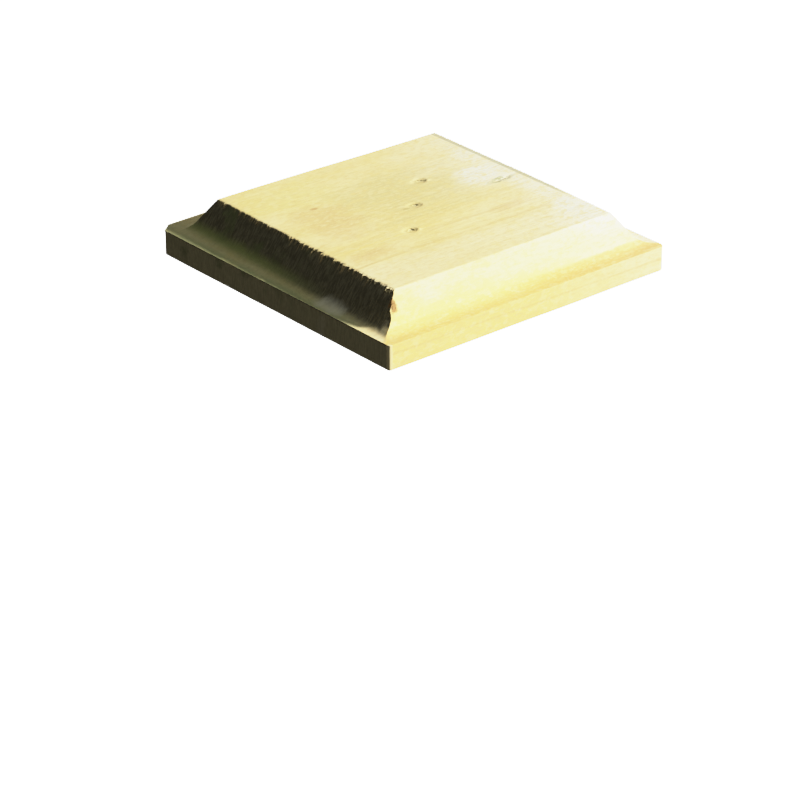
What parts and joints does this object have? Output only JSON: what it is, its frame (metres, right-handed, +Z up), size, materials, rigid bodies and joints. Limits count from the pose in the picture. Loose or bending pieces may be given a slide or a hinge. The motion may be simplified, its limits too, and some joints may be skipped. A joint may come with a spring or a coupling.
{
  "type": "fence post cap",
  "caption": "Square timber fence post cap with a coved and sloped edge moulding on all four sides, held by a diagonal row of lost-head nails.",
  "frame": {"origin": "middle of the flat underside, where the cap sits on the post", "axes": "+Z up, square to the underside; X along the timber's grain; Y across the grain"},
  "size_m": [0.125, 0.128, 0.0504],
  "materials": {
    "treated_softwood": "planed, pressure treated, faint green-yellow tint",
    "galvanised_steel": "dull zinc coat on round wire"
  },
  "bodies": {
    "root": {"timber_cap": "treated_softwood", "fixing_nail_1": "galvanised_steel", "fixing_nail_2": "galvanised_steel", "fixing_nail_3": "galvanised_steel"}
  },
  "joints": []
}
